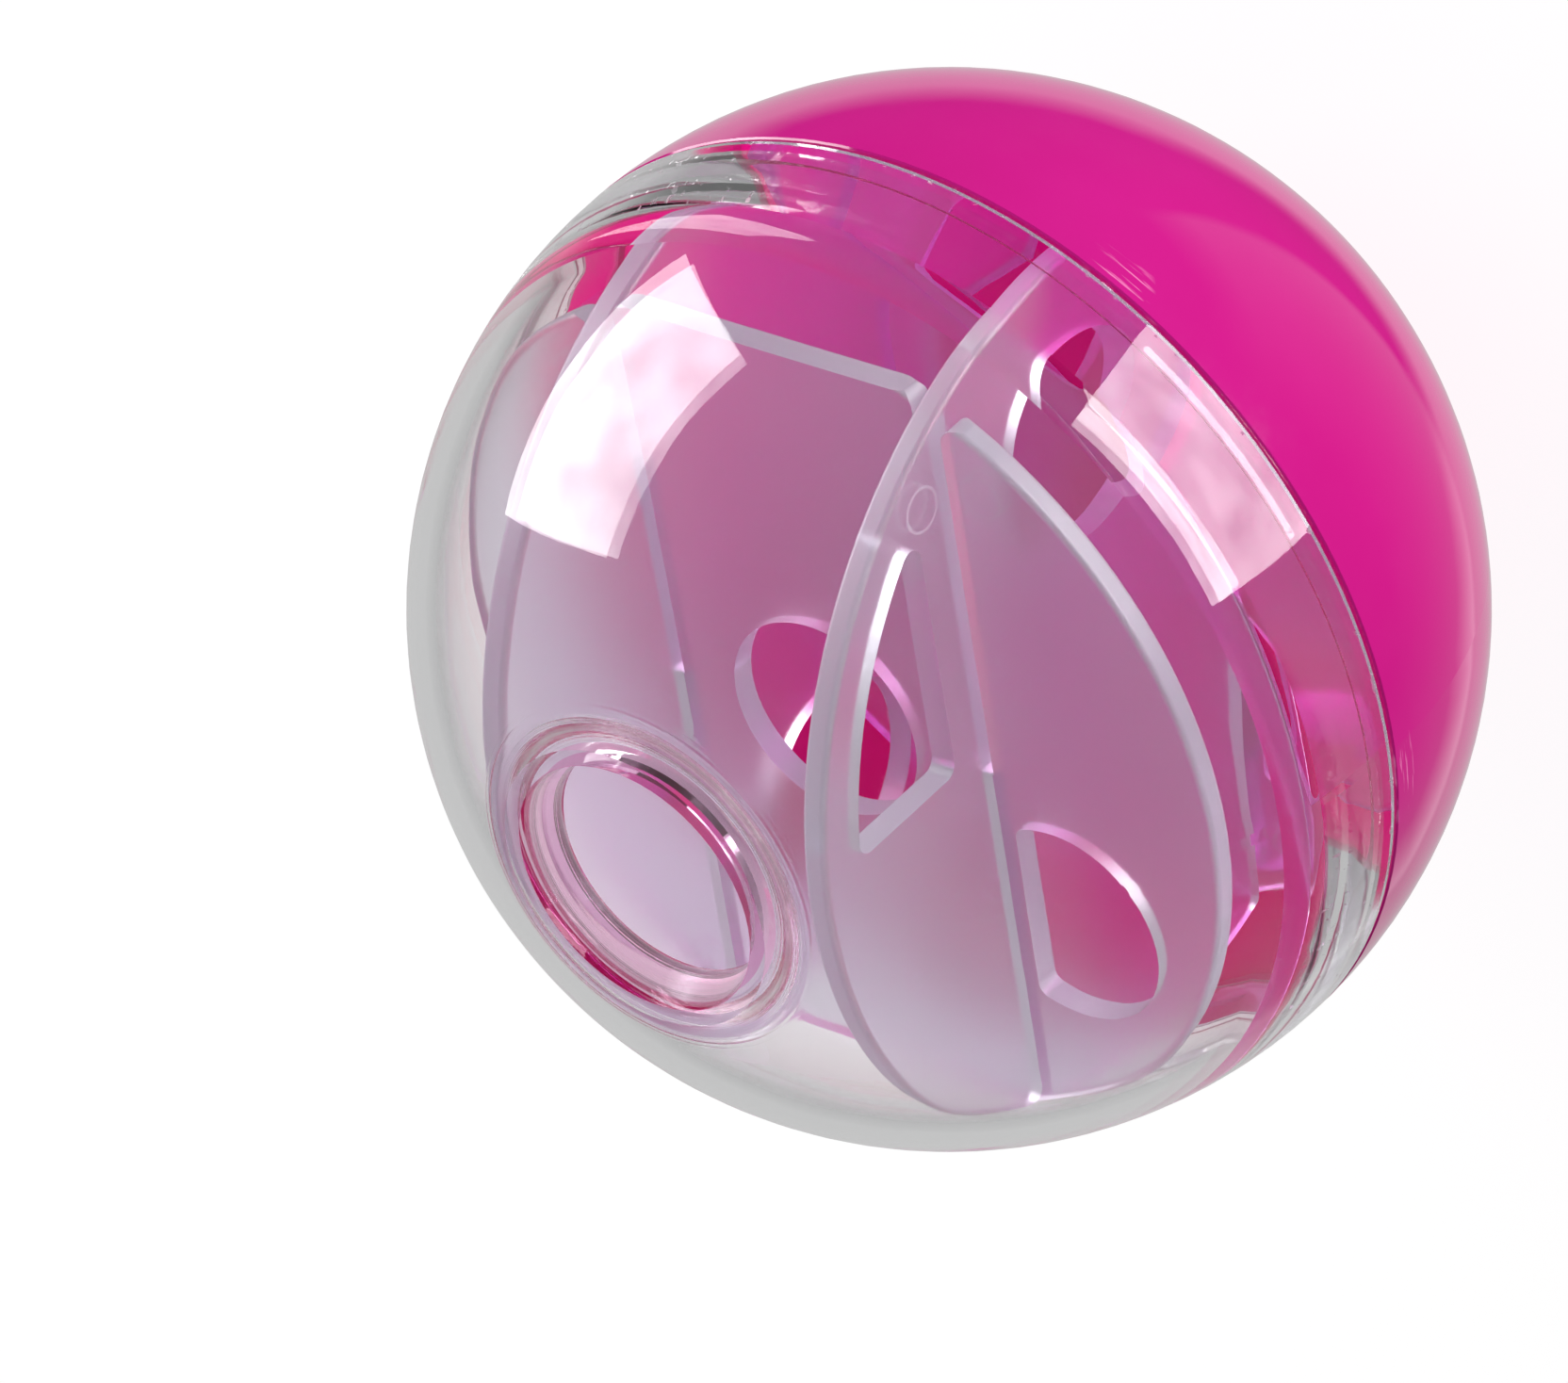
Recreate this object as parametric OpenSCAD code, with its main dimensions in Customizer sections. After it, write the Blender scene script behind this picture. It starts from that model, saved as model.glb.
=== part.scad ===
// A hollow treat ball in two halves, clear above and coloured below, that twist and lift apart.
// Inside, four flat baffles with round and straight-sided openings slot together as a grid.
// Millimetres. Z is the ball's own axis, with the mouth upward, and the origin is the lowest point.

/* [Ball] */
// Outer radius of the closed ball
ball_r = 30; // [29:0.1:34]
// Wall of both halves
wall = 1.6; // [1.5:0.05:1.8]
// Gap between the two rims where they meet
seam_gap = 0.06; // [0.04:0.01:0.1]
// Bevel on the outer edge of the clear rim
clear_bevel = 0.3; // [0.2:0.02:0.4]
// Bevel on the outer edge of the coloured rim
coloured_bevel = 0.1; // [0.06:0.02:0.2]

/* [Mouth] */
// Width of the flat land round the mouth
land_w = 1; // [0.6:0.1:1.4]
// Radius of the mouth at its outer end
mouth_r = 7.8; // [7.6:0.05:8.2]
// Radius of the mouth at its inner end
throat_r = 7.1; // [6.8:0.05:7.4]
// Length of the straight throat at the inner end
throat_len = 0.6; // [0.4:0.1:1]
// Length of the collar, from the land inward
collar_len = 3; // [2.4:0.1:3.4]
// Wall of the collar between its throat and its root fillet
collar_wall = 1.1; // [0.9:0.05:1.3]
// Radius of the fillet at the root of the collar
collar_fillet = 1.5; // [1.2:0.1:1.8]

/* [Twist lock] */
// Length of the clear neck that enters the coloured half
neck_len = 4; // [3.6:0.1:4.4]
// Wall of the neck
neck_wall = 0.6; // [0.5:0.05:0.65]
// Radial clearance between neck and socket
neck_clear = 0.07; // [0.05:0.01:0.09]
// Number of lugs round the neck
lug_count = 4; // [3:1:6]
// Width of a lug as an angle
lug_deg = 9; // [7:1:11]
// Height of a lug along the axis
lug_h = 1; // [0.8:0.1:1.1]
// Radial height of a lug
lug_out = 0.35; // [0.3:0.05:0.4]
// Depth of the lug's upper face below the seam
lug_drop = 1.4; // [1.2:0.1:1.6]
// Turn from the open to the locked position
twist_deg = 24; // [20:1:28]
// Clearance round a lug in its channel
lug_clear = 0.15; // [0.1:0.01:0.2]

/* [Relief bore] */
// Height above the seam where the relief in the clear wall starts
relief_lo = 1.3; // [1:0.1:1.6]
// Height above the seam where its round shoulder meets the ball's inner wall
relief_hi = 7.8; // [7:0.1:8.4]
// Depth of the relief under the neck's own bore
relief_depth = 0.1; // [0.06:0.01:0.14]
// Radius of its shoulder
relief_round = 3; // [2.4:0.1:3.6]

/* [Baffles] */
// Thickness of a baffle
plate_t = 1.5; // [1.3:0.05:1.7]
// Distance of each baffle's middle plane from the ball's centre
plate_off = 10.65; // [10.3:0.05:10.9]
// Gap between the baffles' edges and the inner wall
shell_clear = 0.25; // [0.25:0.05:0.6]
// Extra width of a slot over the baffle in it
slot_clear = 0.1; // [0.06:0.01:0.16]
// Radius of the rounded corners at a slot's mouth
slot_lead = 1; // [0.6:0.1:1.2]
// Rounding of a baffle's round edge
edge_round = 0.35; // [0.2:0.05:0.5]
// Depth of the flat across the cross baffles between their slots
flat_slot_side = 1.75; // [1.4:0.05:2]
// Depth of the flat on their other side
flat_plain_side = 2.2; // [1.8:0.05:2.6]

/* [Openings in the baffles] */
// Radius of the round holes
hole_r = 6.2; // [5.8:0.1:6.6]
// Band left between an offset round hole and the edge
hole_band = 4.5; // [4:0.1:5]
// Radius of the rounded corners of the other openings
corner_r = 0.8; // [0.5:0.1:1]
// Margin between a D-shaped hole's straight side and the crossing baffle
dee_margin = 0.9; // [0.7:0.1:1.2]
// Band left between a D-shaped hole and the edge
dee_band = 2.4; // [2:0.1:2.8]
// Direction of a D-shaped hole's middle, from the wing's own middle line
dee_deg = 31; // [29:1:33]
// Part of its radius between the straight side and its middle
dee_cut_share = 0.42; // [0.35:0.01:0.5]
// Margin between an arched window and the crossing baffle
window_margin = 2.9; // [2.6:0.1:3.2]
// Distance of an arched window's square end from the middle line
window_start = 2; // [1.6:0.1:2.4]
// Band left between an arched window and the round edge
window_band = 2.9; // [2.7:0.1:3.1]

/* [Hidden] */
$fn = 96;
cut = 0.5;
centre_z = ball_r;
inner_r = ball_r - wall;
land_r = mouth_r + land_w;
land_z = sqrt(pow(ball_r, 2) - pow(land_r, 2));
collar_r = throat_r + collar_wall;
collar_end_z = land_z - collar_len;
fillet_mid_r = collar_r + collar_fillet;
fillet_mid_z = sqrt(pow(inner_r - collar_fillet, 2) - pow(fillet_mid_r, 2));
fillet_end_r = fillet_mid_r * inner_r / (inner_r - collar_fillet);
neck_r = inner_r + neck_wall;
socket_r = neck_r + neck_clear;
track_r = socket_r + lug_out;
lug_pitch = 360 / lug_count;
track_gap_deg = lug_clear / socket_r * 180 / PI;
relief_r = inner_r + relief_depth;
shoulder_mid_r = relief_r - relief_round;
shoulder_end_r = sqrt(pow(inner_r, 2) - pow(relief_hi, 2));
shoulder_z = relief_hi - sqrt(pow(relief_round, 2) - pow(shoulder_end_r - shoulder_mid_r, 2));
insert_r = inner_r - shell_clear;
plate_face = plate_off + plate_t / 2;
plate_r = sqrt(pow(insert_r, 2) - pow(plate_face, 2));
slot_w = plate_t + slot_clear;
hole_off = plate_r - hole_r - hole_band;
dee_side = plate_face + dee_margin;
dee_reach = plate_r - dee_band;
dee_r = (dee_reach * cos(dee_deg) - dee_side) / (dee_cut_share + cos(dee_deg));
dee_mid = (dee_reach - dee_r) * [cos(dee_deg), sin(dee_deg)];
arch_side = plate_face + window_margin;
arch_r = plate_r - window_band;
clear_tint = [0.86, 0.88, 0.9, 0.35];
magenta = [0.82, 0.1, 0.52];
milky = [0.78, 0.72, 0.8, 0.8];

// A slab of a ball between two heights measured from its centre.
module ball_zone(r, lo, hi) {
    intersection() {
        sphere(r = r);
        translate([0, 0, lo]) cylinder(r = r + cut, h = hi - lo);
    }
}

// A ring between two radii and two heights, over part of a turn.
module ring_part(r_in, r_out, lo, hi, start, sweep) {
    rotate([0, 0, start]) rotate_extrude(angle = sweep)
        translate([r_in, lo]) square([r_out - r_in, hi - lo]);
}

// The bevel of a rim: side is 1 for the upper rim and -1 for the lower one.
module rim_bevel_cut(side, bevel) {
    edge_z = side * seam_gap / 2;
    rotate_extrude() polygon([
        [ball_r - bevel, edge_z],
        [ball_r - bevel, edge_z - side * cut],
        [ball_r + cut, edge_z - side * cut],
        [ball_r + cut, edge_z + side * bevel],
        [ball_r, edge_z + side * bevel]
    ]);
}

module lugs() {
    for (k = [0 : lug_count - 1])
        ring_part(neck_r - neck_wall / 2, neck_r + lug_out, -lug_drop - lug_h, -lug_drop,
            k * lug_pitch, lug_deg);
}

// Each lug drops down an entry and then turns along a channel.
module lug_tracks() {
    floor_z = -lug_drop - lug_h - lug_clear;
    for (k = [0 : lug_count - 1]) {
        start = k * lug_pitch - track_gap_deg;
        ring_part(neck_r, track_r, floor_z, cut, start, lug_deg + 2 * track_gap_deg);
        ring_part(neck_r, track_r, floor_z, lug_clear - lug_drop, start,
            lug_deg + twist_deg + 2 * track_gap_deg);
    }
}

// The collar hangs inward from the land, and a wide fillet joins it to the ball's inner wall.
module collar() {
    intersection() {
        sphere(r = ball_r - wall / 2);
        rotate_extrude() difference() {
            translate([0, collar_end_z]) square([fillet_end_r, collar_len]);
            translate([fillet_mid_r, fillet_mid_z]) circle(r = collar_fillet);
        }
    }
}

// The mouth narrows to a short straight throat.
module mouth_cut() {
    translate([0, 0, collar_end_z - cut]) cylinder(r = throat_r, h = throat_len + 2 * cut);
    translate([0, 0, collar_end_z + throat_len])
        cylinder(r1 = throat_r, r2 = mouth_r, h = collar_len - throat_len);
    translate([0, 0, land_z]) cylinder(r = mouth_r, h = ball_r - land_z);
}

// A straight bore above the neck, whose round shoulder runs out in the ball's inner wall.
module relief_cut() {
    rotate_extrude() union() {
        translate([0, relief_lo]) square([relief_r, shoulder_z - relief_lo]);
        translate([shoulder_mid_r, shoulder_z]) circle(r = relief_round);
    }
}

module clear_half() {
    color(clear_tint) translate([0, 0, centre_z]) difference() {
        union() {
            difference() {
                ball_zone(ball_r, seam_gap / 2, land_z);
                sphere(r = inner_r);
                rim_bevel_cut(1, clear_bevel);
            }
            collar();
            ring_part(inner_r, neck_r, -neck_len, relief_lo / 2, 0, 360);
            lugs();
        }
        translate([0, 0, -neck_len - cut]) cylinder(r = inner_r, h = neck_len + cut + relief_lo);
        relief_cut();
        mouth_cut();
    }
}

module coloured_half() {
    socket_z = -neck_len - lug_clear;
    color(magenta) translate([0, 0, centre_z]) difference() {
        ball_zone(ball_r, -ball_r, -seam_gap / 2);
        sphere(r = inner_r);
        translate([0, 0, socket_z]) cylinder(r = socket_r, h = cut - socket_z);
        lug_tracks();
        rim_bevel_cut(-1, coloured_bevel);
    }
}

// What a rounded corner takes off: the corner's kite less the circle that rounds it.
module corner_waste(middle, r, on_side, tip, past_edge) {
    difference() {
        polygon([middle, on_side, tip, past_edge]);
        translate(middle) circle(r = r);
    }
}

// The corner between the upright line at side_x and an arc of radius arc_r round arc_mid.
// The rounded piece lies towards dir across the line, and the corner is towards up along it.
module arc_corner_waste(side_x, arc_mid, arc_r, r, dir, up) {
    mid_x = side_x + dir * r;
    mid_y = arc_mid[1] + up * sqrt(pow(arc_r - r, 2) - pow(mid_x - arc_mid[0], 2));
    outward = ([mid_x, mid_y] - arc_mid) / (arc_r - r);
    tip_y = arc_mid[1] + up * (cut + sqrt(pow(arc_r, 2) - pow(side_x - arc_mid[0], 2)));
    corner_waste([mid_x, mid_y], r, [side_x, mid_y], [side_x - dir * cut, tip_y],
        arc_mid + (arc_r + cut) * outward);
}

// Moves a shape drawn across positive X and along positive Y to another wing or side.
module onto(wing, side) {
    mirror([wing > 0 ? 0 : 1, 0]) mirror([0, side > 0 ? 0 : 1]) children();
}

// A round hole with one straight side along the crossing baffle.
module dee(wing, side) {
    onto(wing, side) difference() {
        intersection() {
            translate(dee_mid) circle(r = dee_r);
            translate([dee_side, dee_mid[1] - dee_r]) square([2 * dee_r, 2 * dee_r]);
        }
        for (up = [-1, 1]) arc_corner_waste(dee_side, dee_mid, dee_r, corner_r, 1, up);
    }
}

// An arched window: two straight sides and an arc that follows the round edge.
module arch(wing, side) {
    end_mid = [sqrt(pow(arch_r - corner_r, 2) - pow(window_start + corner_r, 2)), window_start + corner_r];
    end_x = sqrt(pow(arch_r, 2) - pow(window_start, 2));
    onto(wing, side) difference() {
        intersection() {
            circle(r = arch_r);
            translate([arch_side, window_start]) square([arch_r, arch_r]);
        }
        arc_corner_waste(arch_side, [0, 0], arch_r, corner_r, 1, 1);
        corner_waste([arch_side + corner_r, end_mid[1]], corner_r, [arch_side, end_mid[1]],
            [arch_side - cut, window_start - cut], [arch_side + corner_r, window_start]);
        corner_waste(end_mid, corner_r, [end_mid[0], window_start],
            [end_x + cut, window_start - cut], end_mid * (arch_r + cut) / (arch_r - corner_r));
    }
}

module hole(along) {
    translate([0, along]) circle(r = hole_r);
}

// Both slots of a baffle run from its middle line to its edge, and their mouths are rounded.
module slots() {
    for (wing = [-1, 1]) onto(wing, 1) {
        translate([plate_off - slot_w / 2, -slot_clear / 2]) square([slot_w, ball_r]);
        for (dir = [-1, 1])
            arc_corner_waste(plate_off + dir * slot_w / 2, [0, 0], plate_r, slot_lead, dir, 1);
    }
}

// Straight edges between the crossing baffles, in place of the round rim.
module flats() {
    for (side = [-1, 1]) {
        depth = side > 0 ? flat_slot_side : flat_plain_side;
        onto(1, side) translate([-plate_off, plate_r - depth]) square([2 * plate_off, ball_r]);
    }
}

// A disc with a rounded edge, and the children cut through it.
module baffle() {
    color(milky) difference() {
        rotate_extrude() union() {
            translate([0, -plate_t / 2]) square([plate_r - edge_round, plate_t]);
            translate([0, edge_round - plate_t / 2]) square([plate_r, plate_t - 2 * edge_round]);
            for (side = [-1, 1])
                translate([plate_r - edge_round, side * (plate_t / 2 - edge_round)])
                    circle(r = edge_round);
        }
        translate([0, 0, -plate_t]) linear_extrude(height = 2 * plate_t) union() {
            slots();
            children();
        }
    }
}

// Lies across the axis.
module across(z) {
    translate([0, 0, centre_z + z]) children();
}

// Stands along the axis, with its slots toward negative Y.
module upright(x) {
    translate([x, 0, centre_z]) rotate(a = 180, v = [1, 0, 1]) children();
}

module upper_baffle() {
    across(plate_off) baffle() {
        flats();
        hole(0);
        dee(1, -1);
    }
}

module lower_baffle() {
    across(-plate_off) baffle() {
        flats();
        hole(hole_off);
        dee(1, -1);
    }
}

module right_baffle() {
    upright(plate_off) baffle() {
        hole(-hole_off);
        arch(1, -1);
        dee(-1, 1);
    }
}

module left_baffle() {
    upright(-plate_off) baffle() {
        hole(hole_off);
        arch(-1, -1);
    }
}

clear_half();
coloured_half();
upper_baffle();
lower_baffle();
right_baffle();
left_baffle();
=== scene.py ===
"""The looks of a treat ball in two halves, one clear and one coloured, with four milky baffles inside."""

import math

import bpy
from mathutils import Matrix, Vector


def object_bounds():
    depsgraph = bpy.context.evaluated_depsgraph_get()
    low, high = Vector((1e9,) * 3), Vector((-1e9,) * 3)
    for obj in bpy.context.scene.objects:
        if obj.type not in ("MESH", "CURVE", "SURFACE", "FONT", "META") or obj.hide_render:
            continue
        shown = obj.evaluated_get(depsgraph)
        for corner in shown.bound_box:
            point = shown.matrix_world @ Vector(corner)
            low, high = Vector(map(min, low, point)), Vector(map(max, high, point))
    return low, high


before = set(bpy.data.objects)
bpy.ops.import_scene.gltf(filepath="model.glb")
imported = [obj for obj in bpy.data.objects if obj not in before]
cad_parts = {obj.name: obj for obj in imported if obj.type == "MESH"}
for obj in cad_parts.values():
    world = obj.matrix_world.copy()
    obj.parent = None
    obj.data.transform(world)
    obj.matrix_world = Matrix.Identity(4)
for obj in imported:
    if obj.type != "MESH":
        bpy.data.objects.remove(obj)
cad_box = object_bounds()

# The ball, from the frame
BALL_R = (cad_box[1].x - cad_box[0].x) / 2
CENTRE = Vector((0, 0, cad_box[0].z + BALL_R))

# The photograph: its size, and where the ball is in it, in pixels
PHOTO_W, PHOTO_H = 1664, 1468
BALL_PX = (1006.7, 647.1)
BALL_R_PX = 575.9

# The camera: from the ball's centre, the way to the camera and the image's up
TO_CAMERA = Vector((0.549, 0.5648, 0.6161)).normalized()
IMAGE_UP = Vector((-0.2513, 0.8146, -0.5228))
CAMERA_DISTANCE = 19.2 * BALL_R
CLIP_END = 100 * BALL_R
SENSOR_MM = 36.0

# Brightness of the room to the eye, and for matt surfaces
ROOM_SEEN = 1.0
ROOM_AMBIENT = 0.35
BACKDROP_AMBIENT = 1.0

# Brightness of the room in reflections: dim, but for the backdrop and a panel under the ball
ROOM_MIRRORED = 0.04
BACKDROP_MIRRORED = 0.58
PANEL_MIRRORED = 0.32

# Brightness of the room in what clear plastic mirrors inside, and how much the ceiling leaves of it
ROOM_INSIDE = 0.08
BACKDROP_INSIDE = 0.58
CEILING_INSIDE = 0.25

# Where the backdrop fades in, as cosines from its middle behind the ball, and its lower edge
AMBIENT_COS = (-0.4, 0.7)
MIRRORED_COS = (0.72, 0.84)
INSIDE_COS = (-0.5, 0.4)
BACKDROP_LOW_Z = (-0.97, -0.92)

# Where the ceiling fades in, as cosines from the image's up
CEILING_COS = (0.25, 0.6)

# Where the panel fades in, as shares of a direction along X, Y and Z: its sharp edge and its others
PANEL_EDGE_X = (-0.06, -0.02)
PANEL_FADE_X = (0.6, -0.02)
PANEL_END_Y = (0.5, 0.36)
PANEL_TOP_Z = (-0.3, -0.5)

# Soft lamps: the way to each from the ball, its long side, size in metres and radiance
LAMP_DISTANCE = 10 * BALL_R
LEFT_LAMP = dict(way=(-0.796, 0.551, 0.251), along=(-0.255, -0.682, 0.686), size=(0.23, 0.189), radiance=6.9)
RIGHT_ALONG = (0.569, -0.822, -0.033)
RIGHT_LAMP = dict(way=(0.756, 0.538, -0.369), along=RIGHT_ALONG, size=(0.24, 0.16), radiance=8.8)
STRIP_LAMP = dict(way=(0.806, 0.565, -0.184), along=RIGHT_ALONG, size=(0.235, 0.02), radiance=8.0)
CLOTH_SCALE = 3.5
CLOTH_SHADES = (0.72, 1.25)

# Floor
FLOOR_R = 20 * BALL_R
FLOOR_SIDES = 128
FLOOR_GLOW = 0.9
FLOOR_COLOUR = (0.16, 0.16, 0.16, 1)

# The range of a noise over which one look turns gradually into another
GRADUAL = (0.35, 0.65)

# Smudges and the faint ripple of both halves
SMUDGE_DETAIL = 6.0
SMUDGE_COARSE = 0.65
RIPPLE_BUMP = 0.03
RIPPLE_DEPTH = 0.001

# Clear plastic: its tint, the shade of lamplight that passes it, and its smudges
CLEAR_TINT = (0.92, 0.925, 0.93, 1)
CLEAR_SHADE = (0.95, 0.955, 0.96, 1)
CLEAR_IOR = 1.5
CLEAR_RIPPLE_SCALE = 90.0
CLEAR_SMUDGE_SCALE = 160.0
CLEAR_SMUDGE_RANGE = (0.5, 0.75)
CLEAR_ROUGH = (0.0, 0.06)

# The mouth: a radius just past its bore, how far over the ball's centre it starts, and the pink painted into
# its bore as a reflection of the magenta half
MOUTH_R = 0.00783
MOUTH_LOW_Z = 0.022
MOUTH_PAINTED_REFLECTION = (0.92, 0.42, 0.66, 1)

# Turned marks on the inner faces round the mouth: the radii where they fade out, and their grain
TURNED_FADE_R = (0.0099, 0.0111)
TURNED_SCALE = 3500.0
TURNED_DETAIL = 3.0
TURNED_BUMP = 0.3
TURNED_DEPTH = 0.0002
TURNED_ROUGH = 0.12

# Specks on the outer edge of the clear rim
SPECK_BAND = 0.0007
SPECK_SCALE = 1500.0
SPECK_RANGE = (0.62, 0.66)
SPECK_ROUGH = 0.5

# Magenta plastic: its two shades, gloss and smudges
MAGENTA = (0.48, 0.008, 0.195, 1)
MAGENTA_DEEP = (0.44, 0.006, 0.17, 1)
MAGENTA_IOR = 1.5
MAGENTA_SPECULAR = 0.8
FLOW_SCALE = 45.0
FLOW_DETAIL = 3.0
MAGENTA_RIPPLE_SCALE = 120.0
MAGENTA_SMUDGE_SCALE = 220.0
MAGENTA_SMUDGE_RANGE = (0.4, 0.75)
MAGENTA_ROUGH = (0.03, 0.14)

# Light through the magenta wall: its colour, its share on inner faces and on the rim, and how far
# these face away from the ball's centre
MAGENTA_THROUGH = (0.82, 0.001, 0.27, 1)
INNER_THROUGH = 0.9
RIM_THROUGH = 0.4
INNER_FACING = (-0.5 * BALL_R, -0.1 * BALL_R)
RIM_FACING = 0.3 * BALL_R

# What passes it on the way to other pieces: the shade of lamplight, and a share of matt surfaces' light
MAGENTA_SHADE = (0.9, 0.3, 0.85, 1)
MAGENTA_OPEN = 0.35

# Scuffs on the magenta half along the seam: streaks, in patches
SCUFF = (0.8, 0.25, 0.5, 1)
SCUFF_BAND = 0.0035
SCUFF_STRETCH = 16
SCUFF_SCALE = 260.0
SCUFF_DETAIL = 3.0
SCUFF_RANGE = (0.6, 0.66)
SCUFF_PATCH_SCALE = 90.0
SCUFF_PATCH_RANGE = (0.58, 0.64)
SCUFF_SHARE = 0.6

# Milky plastic: its colour through its faces and through its edges, and the shade of lamplight
MILK = (0.95, 0.92, 1.0, 1)
MILK_DENSE = (0.86, 0.82, 0.94, 1)
MILK_SHADE = (0.82, 0.79, 0.82, 1)
MILK_IOR = 1.45
MILK_ROUGH = 0.3

# A plate's edges: how far a normal may point along its thin axis there, and how clear they are
EDGE_ACROSS = (0.3, 0.9)
EDGE_CLEAR = 0.88

# Clouds in milky plastic, which change how clear it is, and its fine grain
CLOUD_SCALE = 70.0
CLOUD_DETAIL = 3.0
CLOUD_RANGE = (0.3, 0.7)
CLOUD_CLEAR = (0.9, 0.94)
GRAIN_SCALE = 900.0
GRAIN_DETAIL = 4.0
GRAIN_BUMP = 0.03
GRAIN_DEPTH = 0.0002

# Ejector pin marks on the baffles: places from the middle lines, radius, line width and clearness
PIN_ALONG = 0.0186
PIN_ACROSS = 0.0136
PIN_R = 0.00125
PIN_LINE = 0.00009
PIN_CLEAR = 0.75

# Bounces: the light is mirrored many times inside the clear wall
BOUNCES = 48
TRANSPARENT_BOUNCES = 32


def place_camera():
    """Puts the camera where the photograph was taken from, with the ball where it is in the picture."""
    across = IMAGE_UP.cross(TO_CAMERA).normalized()
    up = TO_CAMERA.cross(across)
    focal_px = BALL_R_PX * math.sqrt(CAMERA_DISTANCE**2 - BALL_R**2) / BALL_R
    aside = (BALL_PX[0] - PHOTO_W / 2) / focal_px
    above = (PHOTO_H / 2 - BALL_PX[1]) / focal_px
    back = (TO_CAMERA + aside * across + above * up).normalized()
    across = up.cross(back).normalized()
    data = bpy.data.cameras.new("camera")
    data.sensor_width = SENSOR_MM
    data.lens = focal_px / PHOTO_W * SENSOR_MM
    data.clip_start = BALL_R
    data.clip_end = CLIP_END
    camera = bpy.data.objects.new("camera", data)
    camera.matrix_world = (
        Matrix.Translation(CENTRE + CAMERA_DISTANCE * TO_CAMERA)
        @ Matrix((across, back.cross(across), back)).transposed().to_4x4()
    )
    bpy.context.scene.collection.objects.link(camera)
    bpy.context.scene.camera = camera


class Tree:
    """A short way to write a node tree."""

    def __init__(self, owner):
        owner.use_nodes = True
        self.nodes = owner.node_tree.nodes
        self.links = owner.node_tree.links
        self.nodes.clear()

    def add(self, kind, **values):
        """A node. Values name its properties or, with underscores for spaces, its inputs."""
        node = self.nodes.new("ShaderNode" + kind)
        for name, value in values.items():
            if hasattr(node, name):
                setattr(node, name, value)
            else:
                self.set(node, name, value)
        return node

    def set(self, node, name, value):
        """Sets or links the input of that name, or of that number after an i."""
        socket = node.inputs[int(name[1:])] if name[1:].isdigit() else node.inputs[name.replace("_", " ")]
        if isinstance(value, bpy.types.Node):
            self.links.new(value.outputs[0], socket)
        elif isinstance(value, bpy.types.NodeSocket):
            self.links.new(value, socket)
        else:
            socket.default_value = value

    def math(self, operation, *values):
        """A Math node, with one to three values."""
        return self.add("Math", operation=operation, **{f"i{k}": value for k, value in enumerate(values)})

    def product(self, first, *others):
        for other in others:
            first = self.math("MULTIPLY", first, other)
        return first

    def dot(self, a, b):
        return self.add("VectorMath", operation="DOT_PRODUCT", i0=a, i1=b).outputs["Value"]

    def spread(self, value, low, high, to_low, to_high):
        """Maps a value from one range to another, and holds it there."""
        return self.add(
            "MapRange", Value=value, From_Min=low, From_Max=high, To_Min=to_low, To_Max=to_high
        )

    def noise(self, place, scale, detail=2.0, coarse=0.5):
        return self.add("TexNoise", Vector=place, Scale=scale, Detail=detail, Roughness=coarse)

    def choose(self, share, value, other):
        """The first number at a share of zero, and the other at one."""
        return self.add("Mix", i0=share, i2=value, i3=other)

    def blend(self, share, colour, other):
        """The first colour at a share of zero, and the other at one."""
        return self.add("Mix", data_type="RGBA", i0=share, i6=colour, i7=other).outputs["Result"]

    def finish(self, surface, kind="OutputMaterial"):
        self.set(self.add(kind), "Surface", surface)


def add_lamp(name, way, along, size, radiance):
    """A rectangular soft lamp that faces the ball. Its cloth is a little uneven."""
    back = Vector(way).normalized()
    side = Vector(along)
    side = (side - side.dot(back) * back).normalized()
    data = bpy.data.lights.new(name, "AREA")
    data.shape = "RECTANGLE"
    data.size, data.size_y = size
    data.energy = radiance * math.pi * size[0] * size[1]
    t = Tree(data)
    cloth = t.noise(t.add("NewGeometry").outputs["Parametric"], CLOTH_SCALE)
    t.finish(t.add("Emission", Strength=t.spread(cloth, *GRADUAL, *CLOTH_SHADES)), "OutputLight")
    lamp = bpy.data.objects.new(name, data)
    lamp.visible_camera = False
    lamp.matrix_world = (
        Matrix.Translation(CENTRE + LAMP_DISTANCE * back)
        @ Matrix((side, back.cross(side), back)).transposed().to_4x4()
    )
    bpy.context.scene.collection.objects.link(lamp)


def seen_by_eye(t, path):
    """One for a ray from the camera, also through clear plastic, if nothing has mirrored it."""
    straight = t.math("LESS_THAN", path.outputs["Glossy Depth"], 1.0)
    through = t.product(path.outputs["Is Transmission Ray"], straight)
    return t.math("MAXIMUM", path.outputs["Is Camera Ray"], through)


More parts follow.
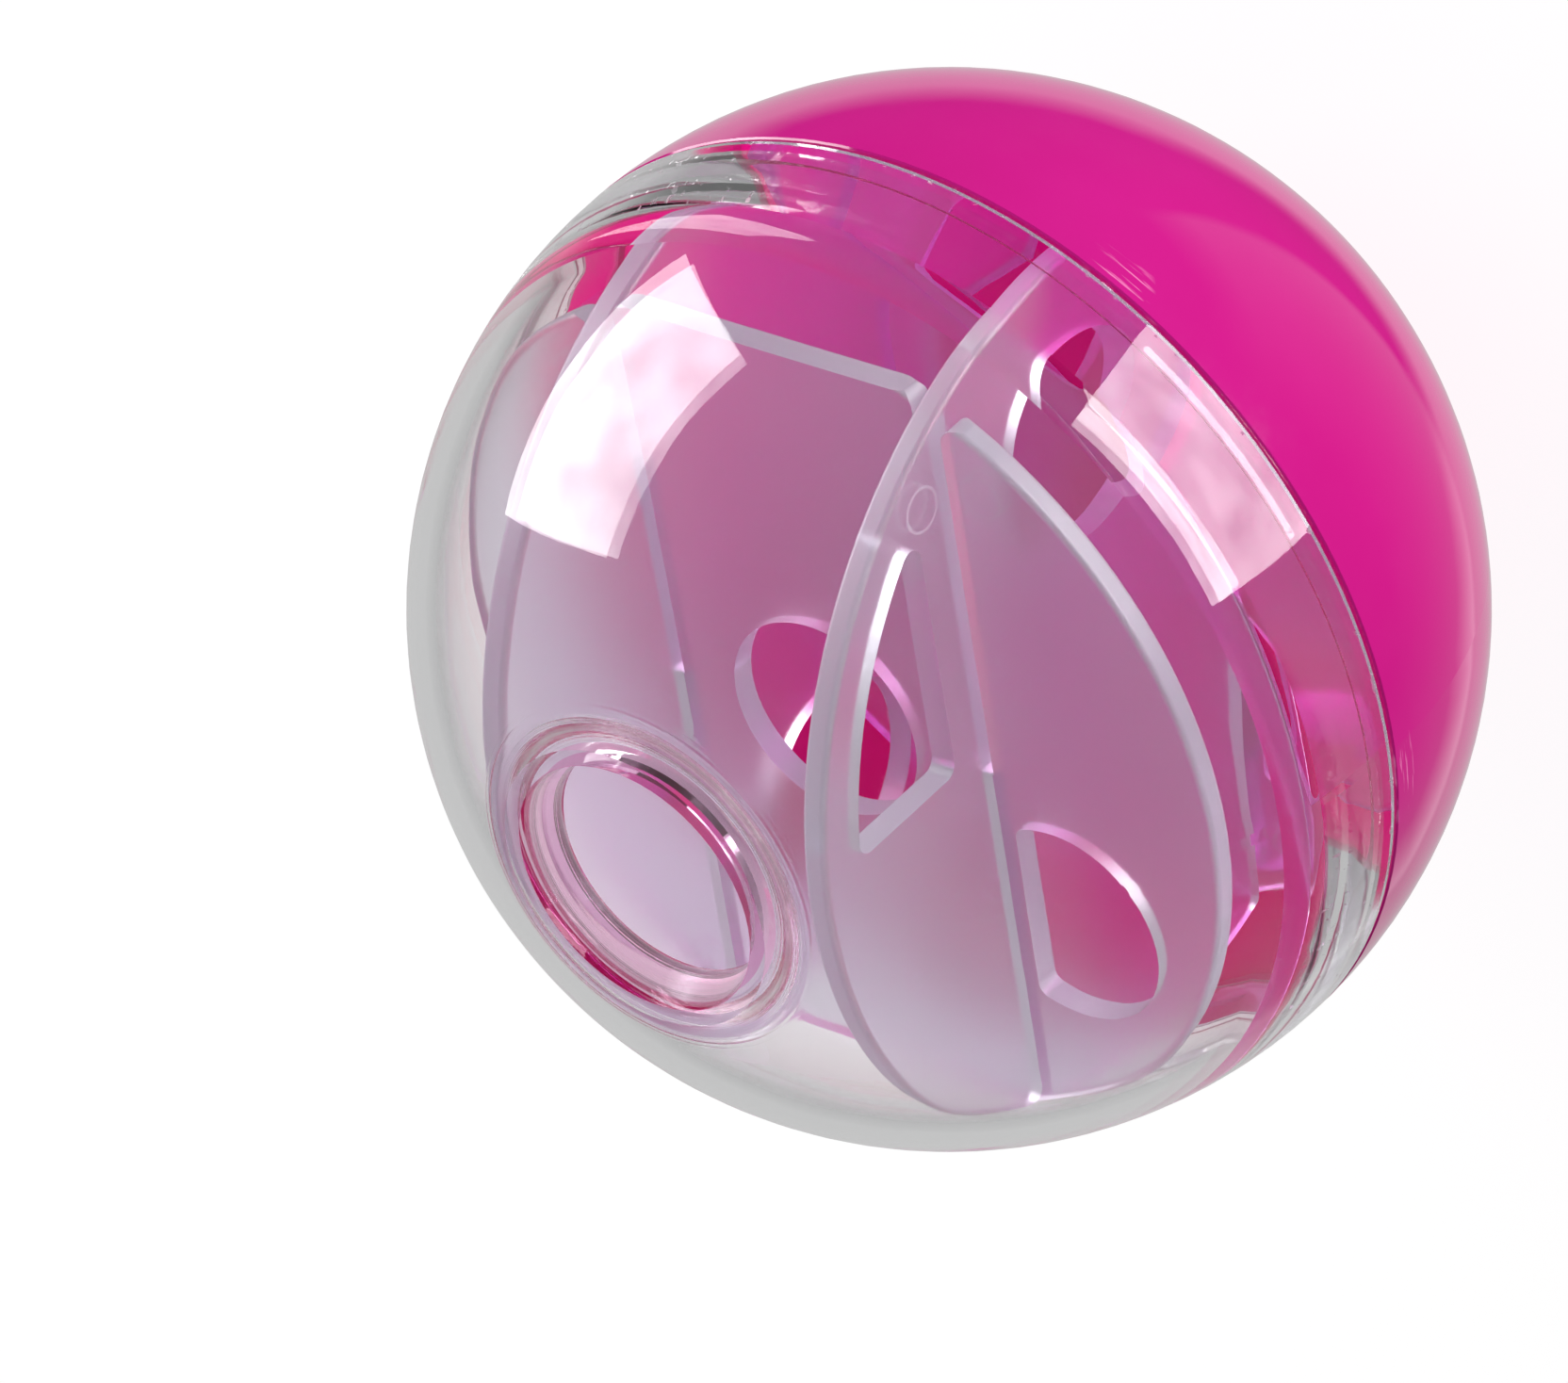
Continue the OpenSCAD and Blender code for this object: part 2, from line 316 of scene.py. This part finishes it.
def make_room():
    """A white room. It is full white to the eye, also through clear plastic, and dimmer in reflections."""
    world = bpy.data.worlds.new("room")
    bpy.context.scene.world = world
    # It differs by the kind of ray, so it can't be sampled as a lamp is
    world.cycles.sampling_method = "NONE"
    t = Tree(world)
    path = t.add("LightPath")
    way = t.add("TexCoord")
    behind = t.dot(way, -TO_CAMERA)
    x, y, z = t.add("SeparateXYZ", Vector=way).outputs
    ambient = t.spread(behind, *AMBIENT_COS, ROOM_AMBIENT, BACKDROP_AMBIENT)
    backdrop = t.product(
        t.spread(behind, *MIRRORED_COS, ROOM_MIRRORED, BACKDROP_MIRRORED),
        t.spread(z, *BACKDROP_LOW_Z, 0.0, 1.0),
    )
    panel = t.product(
        t.spread(x, *PANEL_EDGE_X, 0.0, PANEL_MIRRORED),
        t.spread(x, *PANEL_FADE_X, 0.0, 1.0),
        t.spread(y, *PANEL_END_Y, 0.0, 1.0),
        t.spread(z, *PANEL_TOP_Z, 0.0, 1.0),
    )
    mirrored = t.math("ADD", t.math("MAXIMUM", backdrop, ROOM_MIRRORED), panel)
    inside = t.product(
        t.spread(behind, *INSIDE_COS, ROOM_INSIDE, BACKDROP_INSIDE),
        t.spread(t.dot(way, IMAGE_UP), *CEILING_COS, 1.0, CEILING_INSIDE),
    )
    mirrored = t.choose(path.outputs["Is Transmission Ray"], mirrored, inside)
    unseen = t.choose(path.outputs["Is Glossy Ray"], ambient, mirrored)
    strength = t.choose(seen_by_eye(t, path), unseen, ROOM_SEEN)
    t.finish(t.add("Background", Color=(1, 1, 1, 1), Strength=strength), "OutputWorld")


def make_floor():
    """A pale floor that keeps the ball's shadow. Only the eye sees it, from above. All else passes it."""
    bpy.ops.mesh.primitive_circle_add(
        vertices=FLOOR_SIDES, radius=FLOOR_R, fill_type="NGON", location=(0, 0, 0)
    )
    floor = bpy.context.object
    floor.name = "floor"
    material = bpy.data.materials.new("floor")
    t = Tree(material)
    from_above = t.math("SUBTRACT", 1.0, t.add("NewGeometry").outputs["Backfacing"])
    seen = t.product(seen_by_eye(t, t.add("LightPath")), from_above)
    glow = t.add("Emission", Color=(1, 1, 1, 1), Strength=FLOOR_GLOW)
    shadowed = t.add("AddShader", i0=t.add("BsdfDiffuse", Color=FLOOR_COLOUR), i1=glow)
    t.finish(t.add("MixShader", i0=seen, i1=t.add("BsdfTransparent"), i2=shadowed))
    floor.data.materials.append(material)
    floor.visible_diffuse = floor.visible_glossy = floor.visible_shadow = False


def open_to_lamps(t, surface, shade, soft_share=1.0):
    """Lets lamplight straight through with that shade, and that share of light from matt surfaces."""
    path = t.add("LightPath")
    soft = t.product(path.outputs["Is Diffuse Ray"], soft_share)
    open_share = t.math("MAXIMUM", path.outputs["Is Shadow Ray"], soft)
    return t.add("MixShader", i0=open_share, i1=surface, i2=t.add("BsdfTransparent", Color=shade))


def faces_out(t, place):
    """How far the surface faces away from the ball's centre, in metres: under zero on inner faces."""
    outward = t.add("VectorMath", operation="SUBTRACT", i0=place, i1=CENTRE)
    surface = t.add("NewGeometry").outputs
    turned_round = t.spread(surface["Backfacing"], 0.0, 1.0, 1.0, -1.0)
    return t.product(t.dot(outward, surface["Normal"]), turned_round)


def smudges(t, place, scale, noise_range, rough_range):
    """A roughness that comes in smudges."""
    return t.spread(t.noise(place, scale, SMUDGE_DETAIL, SMUDGE_COARSE), *noise_range, *rough_range)


def ripple(t, place, scale, **normal):
    """The normal of a faintly uneven moulded face."""
    return t.add("Bump", Strength=RIPPLE_BUMP, Distance=RIPPLE_DEPTH, Height=t.noise(place, scale), **normal)


def specks(t, place, from_axis):
    """The roughness of specks on the outer edge of the clear rim."""
    above_seam = t.math("SUBTRACT", t.add("SeparateXYZ", Vector=place).outputs["Z"], CENTRE.z)
    return t.product(
        t.spread(t.noise(place, SPECK_SCALE), *SPECK_RANGE, 0.0, SPECK_ROUGH),
        t.math("COMPARE", above_seam, SPECK_BAND / 2, SPECK_BAND / 2),
        t.math("GREATER_THAN", from_axis, BALL_R - SPECK_BAND),
    )


def clear_plastic():
    """Clear moulded plastic, with a faint ripple, smudges, specks and turned marks round the mouth, and a
    pink painted reflection of the magenta half in the mouth's bore.
    """
    material = bpy.data.materials.new("clear_shell")
    t = Tree(material)
    place = t.add("TexCoord").outputs["Object"]
    aside = t.add("VectorMath", operation="MULTIPLY", i0=place, i1=(1, 1, 0))
    from_axis = t.add("VectorMath", operation="LENGTH", i0=aside).outputs["Value"]
    high = t.add("SeparateXYZ", Vector=place).outputs["Z"]
    at_mouth = t.math("GREATER_THAN", high, CENTRE.z + MOUTH_LOW_Z)
    in_mouth = t.product(at_mouth, t.math("LESS_THAN", from_axis, MOUTH_R))
    turned_share = t.product(
        at_mouth,
        t.spread(from_axis, *TURNED_FADE_R, 1.0, 0.0),
        t.math("SUBTRACT", 1.0, in_mouth),
        t.math("LESS_THAN", faces_out(t, place), 0.0),
    )
    turned = t.add(
        "TexNoise", noise_dimensions="1D", W=from_axis, Scale=TURNED_SCALE, Detail=TURNED_DETAIL
    )
    turned_bump = t.product(turned_share, TURNED_BUMP)
    marks = t.add("Bump", Strength=turned_bump, Distance=TURNED_DEPTH, Height=turned)
    rough = smudges(t, place, CLEAR_SMUDGE_SCALE, CLEAR_SMUDGE_RANGE, CLEAR_ROUGH)
    rough = t.math("ADD", rough, t.product(turned_share, TURNED_ROUGH))
    rough = t.math("ADD", rough, specks(t, place, from_axis))
    # In the mouth's bore the base colour is a pink painted reflection of the magenta half, not the plastic's
    # own colour
    glass = t.add(
        "BsdfPrincipled", Base_Color=t.blend(in_mouth, CLEAR_TINT, MOUTH_PAINTED_REFLECTION), Roughness=rough,
        IOR=CLEAR_IOR, Transmission_Weight=1.0, Normal=ripple(t, place, CLEAR_RIPPLE_SCALE, Normal=marks),
    )
    t.finish(open_to_lamps(t, glass, CLEAR_SHADE))
    return material


def scuffs(t, place):
    """The share of scuffs, which run along the seam."""
    stretched = t.add("VectorMath", operation="MULTIPLY", i0=place, i1=(1, 1, SCUFF_STRETCH))
    high = t.add("SeparateXYZ", Vector=place).outputs["Z"]
    return t.product(
        t.spread(t.noise(stretched, SCUFF_SCALE, SCUFF_DETAIL), *SCUFF_RANGE, 0.0, 1.0),
        t.spread(t.noise(place, SCUFF_PATCH_SCALE), *SCUFF_PATCH_RANGE, 0.0, 1.0),
        t.spread(high, CENTRE.z - SCUFF_BAND, CENTRE.z - SCUFF_BAND / 2, 0.0, SCUFF_SHARE),
    )


def coloured_plastic():
    """Polished magenta plastic, with flow marks and scuffs. Its inner faces glow with light from outside."""
    material = bpy.data.materials.new("coloured_shell")
    t = Tree(material)
    place = t.add("TexCoord").outputs["Object"]
    flow = t.spread(t.noise(place, FLOW_SCALE, FLOW_DETAIL), *GRADUAL, 0.0, 1.0)
    colour = t.blend(scuffs(t, place), t.blend(flow, MAGENTA_DEEP, MAGENTA), SCUFF)
    plastic = t.add(
        "BsdfPrincipled", Base_Color=colour, IOR=MAGENTA_IOR, Specular_IOR_Level=MAGENTA_SPECULAR,
        Roughness=smudges(t, place, MAGENTA_SMUDGE_SCALE, MAGENTA_SMUDGE_RANGE, MAGENTA_ROUGH),
        Normal=ripple(t, place, MAGENTA_RIPPLE_SCALE),
    )
    facing = faces_out(t, place)
    through = t.product(
        t.math("LESS_THAN", facing, RIM_FACING),
        t.spread(facing, *INNER_FACING, INNER_THROUGH, RIM_THROUGH),
    )
    glowing = t.add("BsdfTranslucent", Color=MAGENTA_THROUGH)
    wall = t.add("MixShader", i0=through, i1=plastic, i2=glowing)
    t.finish(open_to_lamps(t, wall, MAGENTA_SHADE, MAGENTA_OPEN))
    return material


def pin_marks(t, place, across):
    """One on the rings that ejector pins left, four on each face of a plate."""
    from_centre = t.add("VectorMath", operation="SUBTRACT", i0=place, i1=CENTRE)
    mirrored = t.add("SeparateXYZ", Vector=t.add("VectorMath", operation="ABSOLUTE", i0=from_centre))
    flat = t.add("CombineXYZ", X=mirrored.outputs[across], Y=mirrored.outputs["Y"])
    pin = (PIN_ACROSS, PIN_ALONG, 0)
    away = t.add("VectorMath", operation="DISTANCE", i0=flat, i1=pin).outputs["Value"]
    return t.math("COMPARE", away, PIN_R, PIN_LINE)


def milky_plastic(name, thin, across):
    """Frosted milky plastic for plates, denser through their edges. Thin and across name their axes."""
    material = bpy.data.materials.new(name)
    t = Tree(material)
    place = t.add("TexCoord").outputs["Object"]
    normal = t.add("SeparateXYZ", Vector=t.add("NewGeometry").outputs["Normal"])
    edge = t.spread(t.math("ABSOLUTE", normal.outputs[thin]), *EDGE_ACROSS, 1.0, 0.0)
    grain = t.noise(place, GRAIN_SCALE, GRAIN_DETAIL)
    clear = t.product(
        t.spread(t.noise(place, CLOUD_SCALE, CLOUD_DETAIL), *CLOUD_RANGE, *CLOUD_CLEAR),
        t.spread(edge, 0.0, 1.0, 1.0, EDGE_CLEAR),
        t.spread(pin_marks(t, place, across), 0.0, 1.0, 1.0, PIN_CLEAR),
    )
    milk = t.add(
        "BsdfPrincipled", Base_Color=t.blend(edge, MILK, MILK_DENSE), Roughness=MILK_ROUGH, IOR=MILK_IOR,
        Transmission_Weight=clear,
        Normal=t.add("Bump", Strength=GRAIN_BUMP, Distance=GRAIN_DEPTH, Height=grain),
    )
    t.finish(open_to_lamps(t, milk, MILK_SHADE))
    return material


def dress(material, *nodes):
    """Gives every slot of these CAD nodes that material."""
    for node in nodes:
        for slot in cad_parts[node].material_slots:
            slot.material = material


place_camera()
add_lamp("left_lamp", **LEFT_LAMP)
add_lamp("right_lamp", **RIGHT_LAMP)
add_lamp("strip_lamp", **STRIP_LAMP)
make_room()
make_floor()

dress(clear_plastic(), "clear_half")
dress(coloured_plastic(), "coloured_half")
dress(milky_plastic("baffle_cross", "Z", "X"), "upper_baffle", "lower_baffle")
dress(milky_plastic("baffle_upright", "X", "Z"), "right_baffle", "left_baffle")

cycles = bpy.context.scene.cycles
cycles.max_bounces = BOUNCES
cycles.glossy_bounces = BOUNCES
cycles.transmission_bounces = BOUNCES
cycles.transparent_max_bounces = TRANSPARENT_BOUNCES
bpy.context.scene.view_settings.view_transform = "Standard"
